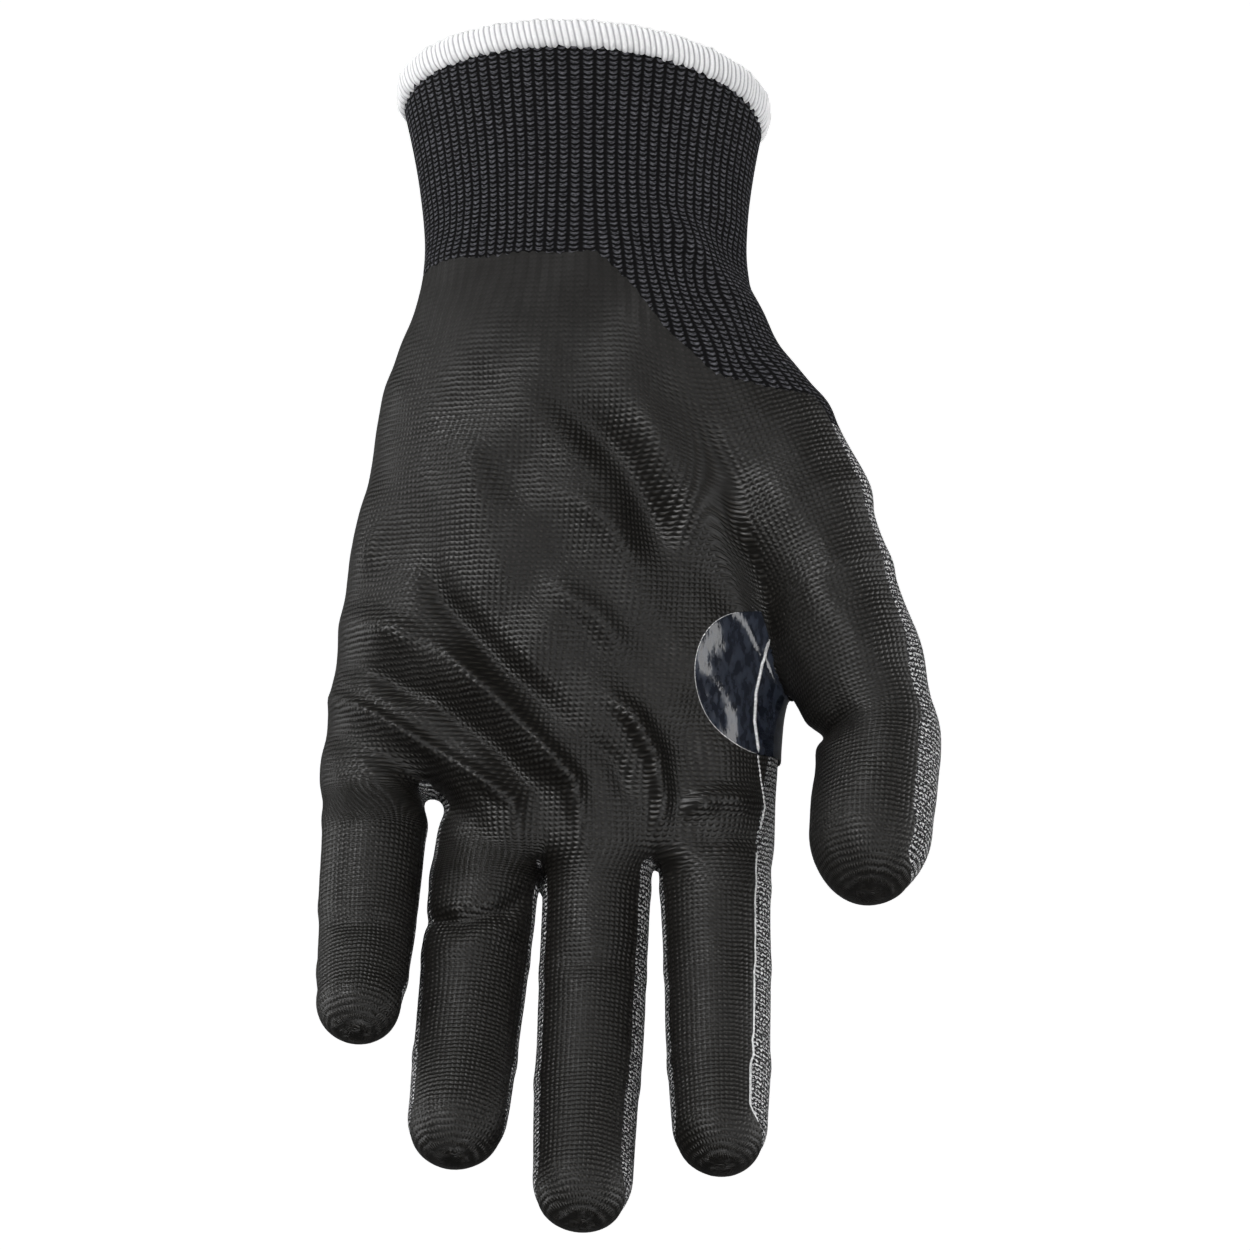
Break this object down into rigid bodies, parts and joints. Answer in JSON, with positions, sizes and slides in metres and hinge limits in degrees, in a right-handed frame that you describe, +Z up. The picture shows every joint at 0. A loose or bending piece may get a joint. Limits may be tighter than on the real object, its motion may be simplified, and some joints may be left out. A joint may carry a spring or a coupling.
{
  "type": "cut resistant glove",
  "caption": "Left-hand knitted cut resistant glove with a dipped palm coating, a ribbed cuff with an overlocked hem and a glossy patch over the thumb crotch.",
  "frame": {"origin": "centre of the cuff opening", "axes": "+Z up the forearm, out of the cuff; the palm faces -Y; the thumb is on the +X side; the fingers point down -Z"},
  "size_m": [0.1249, 0.0606, 0.2472],
  "materials": {
    "knit": "matt fine-gauge knit, black with pale grey fibre flecks",
    "rib": "matt ribbed knit, charcoal with blue-grey dashes",
    "hem": "matt white overlock thread",
    "coating": "satin black dipped coating, thin enough to show the knit",
    "patch": "glossy blue-black film"
  },
  "bodies": {
    "cuff": {"hem_overlock": "hem", "cuff_knit": "rib"},
    "hand": {"hand_knit": "knit", "palm_coating": "coating", "crotch_patch": "patch"},
    "little_proximal": {"little_proximal_knit": "knit", "little_proximal_coating": "coating"},
    "little_middle": {"little_middle_knit": "knit", "little_middle_coating": "coating"},
    "little_distal": {"little_distal_knit": "knit", "little_distal_coating": "coating"},
    "ring_proximal": {"ring_proximal_knit": "knit", "ring_proximal_coating": "coating"},
    "ring_middle": {"ring_middle_knit": "knit", "ring_middle_coating": "coating"},
    "ring_distal": {"ring_distal_knit": "knit", "ring_distal_coating": "coating"},
    "middle_proximal": {"middle_proximal_knit": "knit", "middle_proximal_coating": "coating"},
    "middle_middle": {"middle_middle_knit": "knit", "middle_middle_coating": "coating"},
    "middle_distal": {"middle_distal_knit": "knit", "middle_distal_coating": "coating"},
    "index_proximal": {"index_proximal_knit": "knit", "index_proximal_coating": "coating"},
    "index_middle": {"index_middle_knit": "knit", "index_middle_coating": "coating"},
    "index_distal": {"index_distal_knit": "knit", "index_distal_coating": "coating"},
    "thumb_proximal": {"thumb_proximal_knit": "knit", "thumb_proximal_coating": "coating"},
    "thumb_distal": {"thumb_distal_knit": "knit", "thumb_distal_coating": "coating"}
  },
  "joints": [
    {"name": "wrist_bend", "type": "hinge", "parent": "cuff", "child": "hand", "pos_m": [0, 0, -0.037], "axis": [-1, 0, 0], "range_deg": [-25, 25], "stiffness_Nm_per_rad": 0.15},
    {"name": "little_base_bend", "type": "hinge", "parent": "hand", "child": "little_proximal", "pos_m": [-0.0422, -0.004, -0.1575], "axis": [-0.999, 0, 0.0436], "range_deg": [-10, 50], "stiffness_Nm_per_rad": 0.03},
    {"name": "little_middle_bend", "type": "hinge", "parent": "little_proximal", "child": "little_middle", "pos_m": [-0.04303, -0.00872, -0.1764], "axis": [-0.999, 0, 0.0436], "range_deg": [-10, 60], "stiffness_Nm_per_rad": 0.03},
    {"name": "little_tip_bend", "type": "hinge", "parent": "little_middle", "child": "little_distal", "pos_m": [-0.04363, -0.01551, -0.19032], "axis": [-0.999, 0, 0.0436], "range_deg": [-8, 45], "stiffness_Nm_per_rad": 0.03},
    {"name": "ring_base_bend", "type": "hinge", "parent": "hand", "child": "ring_proximal", "pos_m": [-0.0201, -0.003, -0.169], "axis": [-0.9962, 0, 0.0872], "range_deg": [-10, 50], "stiffness_Nm_per_rad": 0.03},
    {"name": "ring_middle_bend", "type": "hinge", "parent": "ring_proximal", "child": "ring_middle", "pos_m": [-0.02155, -0.00624, -0.18562], "axis": [-0.9962, 0, 0.0872], "range_deg": [-10, 60], "stiffness_Nm_per_rad": 0.03},
    {"name": "ring_tip_bend", "type": "hinge", "parent": "ring_middle", "child": "ring_distal", "pos_m": [-0.02338, -0.01431, -0.20655], "axis": [-0.9962, 0, 0.0872], "range_deg": [-8, 45], "stiffness_Nm_per_rad": 0.03},
    {"name": "middle_base_bend", "type": "hinge", "parent": "hand", "child": "middle_proximal", "pos_m": [0.0026, -0.003, -0.1705], "axis": [-0.999, 0, 0.0436], "range_deg": [-10, 50], "stiffness_Nm_per_rad": 0.03},
    {"name": "middle_middle_bend", "type": "hinge", "parent": "middle_proximal", "child": "middle_middle", "pos_m": [0.0018, -0.00589, -0.18876], "axis": [-0.999, 0, 0.0436], "range_deg": [-10, 60], "stiffness_Nm_per_rad": 0.03},
    {"name": "middle_tip_bend", "type": "hinge", "parent": "middle_middle", "child": "middle_distal", "pos_m": [0.00081, -0.01331, -0.21156], "axis": [-0.999, 0, 0.0436], "range_deg": [-8, 45], "stiffness_Nm_per_rad": 0.03},
    {"name": "index_base_bend", "type": "hinge", "parent": "hand", "child": "index_proximal", "pos_m": [0.0264, -0.0035, -0.1705], "axis": [-1, 0, -0.0087], "range_deg": [-10, 40], "stiffness_Nm_per_rad": 0.03},
    {"name": "index_middle_bend", "type": "hinge", "parent": "index_proximal", "child": "index_middle", "pos_m": [0.02655, -0.00616, -0.18729], "axis": [-1, 0, -0.0087], "range_deg": [-10, 45], "stiffness_Nm_per_rad": 0.03},
    {"name": "index_tip_bend", "type": "hinge", "parent": "index_middle", "child": "index_distal", "pos_m": [0.02672, -0.0128, -0.20774], "axis": [-1, 0, -0.0087], "range_deg": [-8, 35], "stiffness_Nm_per_rad": 0.03},
    {"name": "thumb_base_bend", "type": "hinge", "parent": "hand", "child": "thumb_proximal", "pos_m": [0.0536, -0.01, -0.123], "axis": [-0.5198, 0.8192, -0.2424], "range_deg": [-12, 18], "stiffness_Nm_per_rad": 0.03},
    {"name": "thumb_tip_bend", "type": "hinge", "parent": "thumb_proximal", "child": "thumb_distal", "pos_m": [0.05902, -0.01162, -0.14009], "axis": [-0.5198, 0.8192, -0.2424], "range_deg": [-10, 30], "stiffness_Nm_per_rad": 0.03}
  ]
}
